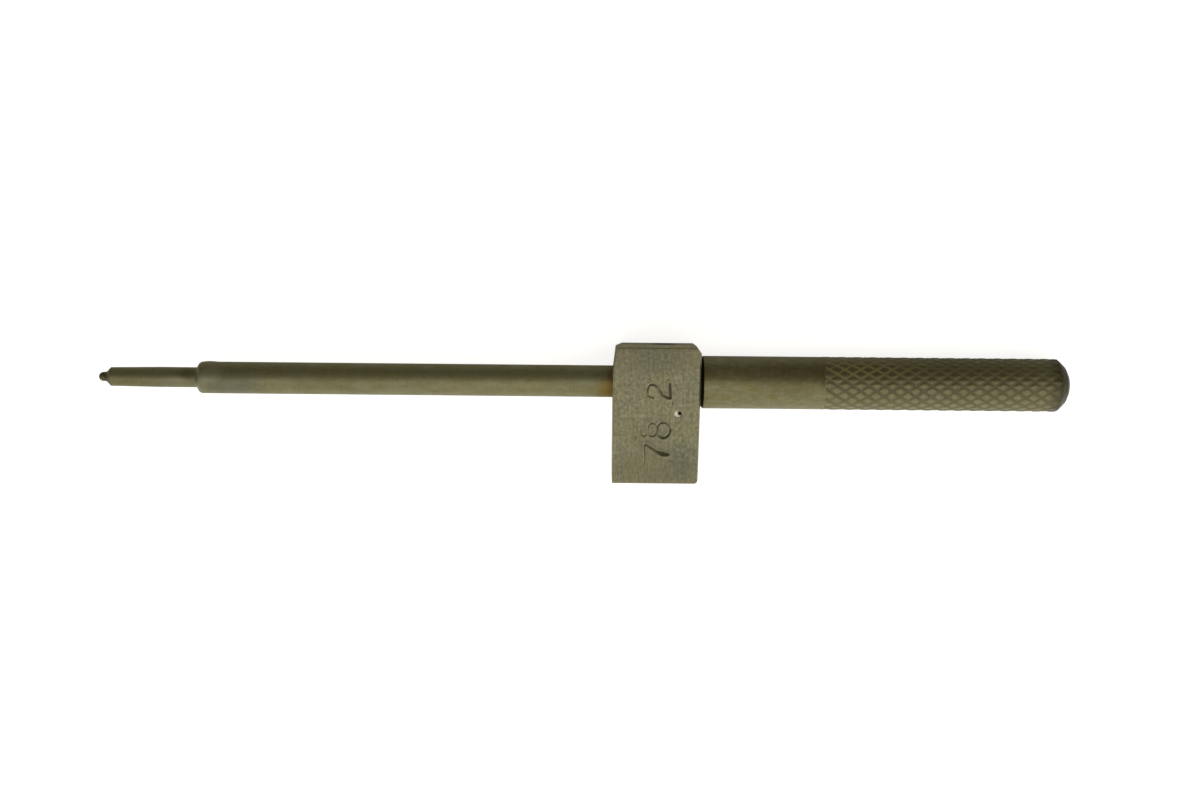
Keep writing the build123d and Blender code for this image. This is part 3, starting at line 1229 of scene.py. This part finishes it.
def block_material():
    material, tree, shader, vector = new_material("block steel")
    fine = {"Vector": vector, "Size": 0.7, "Specks per mm": 2.2, "Mottles per mm": 1.5}
    film = use(tree, patches, fine)
    cloud = use(tree, patches, {"Vector": vector, "Size": 4.5, "Specks per mm": 0.9})
    ground = ground_way(tree, vector)
    lines = use(tree, tool_lines, {"Vector": ground, "Stretch": (4.2, 0.8, 4.2)})
    scratches = use(tree, tool_lines, {"Vector": ground, "Stretch": (15.0, 0.35, 15.0)})
    # This mask lays dirt and painted shade in the stamped marks and the punched point's pit.
    low = use(tree, grime_and_shade, {"Vector": vector, "Low place": attribute(tree, "groove"), "Amount": 0.6})
    worn = use(tree, edge_wear, {"Vector": vector, "Edge": attribute(tree, "edge"), "Amount": 0.4})
    colour = blend_colour(tree, cloud["Patch"], face_olive, face_grey)
    colour = coated(tree, colour, film["Patch"], 0.85, face_dark)
    colour = with_stains_and_painted_light(tree, vector, colour, face_stains)
    by_foot = {"Vector": vector, "Centre": (91.0, -14.2, 6.3), "Shape": (0.3, 0.24, 0.2)}
    by_head = {"Vector": vector, "Centre": (86.3, 4.6, 6.3), "Shape": (0.2, 0.36, 0.2)}
    foot = use(tree, stain_and_shade_zone, by_foot)["Mask"]
    head = use(tree, stain_and_shade_zone, by_head)["Mask"]
    blotch = calc(tree, "MAXIMUM", foot, times(tree, head, 0.7))
    blotch = times(tree, blotch, between(tree, film["Patch"], 0.0, 1.0, 0.3, 1.0))
    colour = coated(tree, colour, blotch, 0.65, face_blue)
    # Painted reflection, in part: the head's chamfers are painted lighter.
    colour = coated(tree, colour, on_chamfer(tree, vector), 0.8, filed_steel_and_reflection)
    colour = coated(tree, colour, film["Speck"], 0.6, face_dark)
    colour = varied(tree, colour, film["Mottle"], 0.09)
    colour = toned(tree, colour, between(tree, lines["Tone"], 0.0, 1.0, 0.9, 1.1))
    colour = toned(tree, colour, between(tree, scratches["Tone"], 0.0, 1.0, 0.9, 1.1))
    colour = blend_colour(tree, worn["Mask"], colour, bare_steel_and_highlight)
    # Painted highlights on the marks' -X walls and on the punched point's rim, with some bare steel.
    colour = blend_colour(tree, attribute(tree, "bare_and_highlight"), colour, bright_bare_and_highlight)
    colour = blend_colour(tree, low["Mask"], colour, grime_and_shade_brown)
    # Painted shade on the rear face beside the grip.
    colour = coated(tree, colour, grip_gap_shade(tree, vector), 0.9, grime_and_shade_brown)
    # Painted shade: the lock screw's hole is painted black.
    colour = blend_colour(tree, lock_hole_shade(tree, vector), colour, black_oxide_and_hole_shade)
    roughness = between(tree, low["Mask"], 0.0, 1.0, 0.45, 0.65)
    set_shader(tree, shader, colour, roughness, scratches["Height"], 0.9, 0.5)
    return material


def screw_material():
    material, tree, shader, vector = new_material("black oxide steel")
    film = use(tree, patches, {"Vector": vector, "Size": 0.9, "Specks per mm": 4.0})
    lines = use(tree, tool_lines, {"Vector": vector, "Stretch": (4.0, 12.0, 4.0)})
    colour = coated(tree, black_oxide_and_hole_shade, film["Patch"], 0.4, dark_film_and_shade)
    roughness = between(tree, film["Patch"], 0.0, 1.0, 0.5, 0.38)
    set_shader(tree, shader, colour, roughness, lines["Height"], 0.9)
    return material


def pad_material():
    material, tree, shader, vector = new_material("dull brass")
    film = use(tree, patches, {"Vector": vector, "Size": 0.8, "Specks per mm": 4.0})
    lines = use(tree, tool_lines, {"Vector": vector, "Stretch": (3.0, 14.0, 3.0)})
    colour = blend_colour(tree, film["Patch"], brass_dull, brass_bright)
    roughness = between(tree, film["Patch"], 0.0, 1.0, 0.45, 0.3)
    set_shader(tree, shader, colour, roughness, lines["Height"], 1.0)
    return material


# Stage: floor, light and camera

# Where the gauge touches the floor: the block's back edge and the end of the knurl
rest_x = 94.2
grip_rest_x = 161.7
floor_reach = 12000.0
floor_gap = 0.02

# What the floor shows of itself to the camera and to the steel, which mirrors its -Y side. In the
# steel's reflections the floor's -Y side glows brighter than its +Y side: painted light, a glow
# standing in for light falling on that side.
floor_glow = 0.8
mirror_least = 0.03
mirror_more = 0.65
mirror_turn = 0.012

# The middle of the gauge's length, over which the camera stands
middle_x = 75.85
camera_eye = (middle_x, 18.88, 310.0)
camera_target = (middle_x, -3.57, 0.0)
camera_roll = radians(0.544)
camera_across = radians(40.0)
room_warm = (1.0, 0.92, 0.70, 1)


def pale_floor():
    """A pale floor under the block's back edge and the grip's end, on which the gauge lies."""
    rise = (half_depth - knurl_r) / (grip_rest_x - rest_x)
    bm = bmesh.new()
    reach = floor_reach
    for x, y in ((-reach, -reach), (reach, -reach), (reach, reach), (-reach, reach)):
        bm.verts.new((x, y, -half_depth + (x - rest_x) * rise - floor_gap))
    bm.faces.new(bm.verts)
    floor = object_of("floor", bm)
    floor.data.transform(Matrix.Scale(MM, 4))
    material, tree = empty_material("pale paper")
    paper = add(tree, "ShaderNodeBsdfDiffuse", {"Color": paper_pale})
    path = add(tree, "ShaderNodeLightPath").outputs
    place = add(tree, "ShaderNodeTexCoord").outputs["Object"]
    lit_side = between(tree, axes_of(tree, place)[1], mirror_turn, -mirror_turn)
    mirrored = calc(tree, "MAXIMUM", path["Is Glossy Ray"], path["Is Transmission Ray"])
    glow = calc(tree, "ADD", mirror_least, times(tree, lit_side, mirror_more))
    mirrored = times(tree, mirrored, glow)
    seen = calc(tree, "ADD", times(tree, path["Is Camera Ray"], floor_glow), mirrored)
    white = add(tree, "ShaderNodeEmission", {"Color": (1, 1, 1, 1), "Strength": seen})
    mix = add(tree, "ShaderNodeAddShader", {0: paper.outputs[0], 1: white.outputs[0]})
    output = add(tree, "ShaderNodeOutputMaterial")
    tree.links.new(mix.outputs[0], output.inputs["Surface"])
    floor.data.materials.append(material)


def soft_box(name, lean, turn, distance, size, radiance):
    """An oblong lamp that leans from overhead towards -Y and turns towards +X, in degrees."""
    lamp = bpy.data.lights.new(name, "AREA")
    lamp.shape = "RECTANGLE"
    lamp.size, lamp.size_y = size
    lamp.energy = radiance * pi * size[0] * size[1]
    box = placed(name, lamp)
    middle = Vector((middle_x, 0, 0)) * MM
    tilt, yaw = radians(lean), radians(turn)
    towards = Vector((sin(yaw), -sin(tilt) * cos(yaw), cos(tilt) * cos(yaw)))
    box.location = middle + towards * distance
    box.rotation_euler = towards.to_track_quat("Z", "Y").to_euler()
    box.visible_camera = False


def dim_room(strength):
    world = bpy.data.worlds.new("dim room")
    bpy.context.scene.world = world
    world.use_nodes = True
    back = world.node_tree.nodes["Background"]
    back.inputs["Color"].default_value = room_warm
    back.inputs["Strength"].default_value = strength


def picture_camera():
    """The camera stands a little towards the lock screw's side and looks down on the stamped face."""
    eye = Vector(camera_eye) * MM
    target = Vector(camera_target) * MM
    ahead = (target - eye).normalized()
    right = ahead.cross(Vector((0, 1, 0))).normalized()
    up = right.cross(ahead)
    turned_right = right * cos(camera_roll) + up * sin(camera_roll)
    turned_up = up * cos(camera_roll) - right * sin(camera_roll)
    data = bpy.data.cameras.new("picture")
    data.sensor_width = 36.0
    data.lens = data.sensor_width / 2 / tan(camera_across / 2)
    data.clip_start, data.clip_end = 0.01, 50.0
    camera = placed("picture", data)
    basis = Matrix((turned_right, turned_up, -ahead)).transposed().to_4x4()
    camera.matrix_world = Matrix.Translation(eye) @ basis
    bpy.context.scene.camera = camera


ground_stem(stem_material())
knurled_grip(grip_material())
stamped_block(block_material())
socket_screw(screw_material())
brass_pad(pad_material())
pale_floor()
dim_room(0.185)
soft_box("overhead soft box", lean=14, turn=6, distance=1.1, size=(2.4, 0.6), radiance=1.1)
soft_box("front soft box", lean=62, turn=6, distance=1.1, size=(2.4, 1.15), radiance=0.8)
picture_camera()
bpy.context.scene.view_settings.view_transform = "Standard"
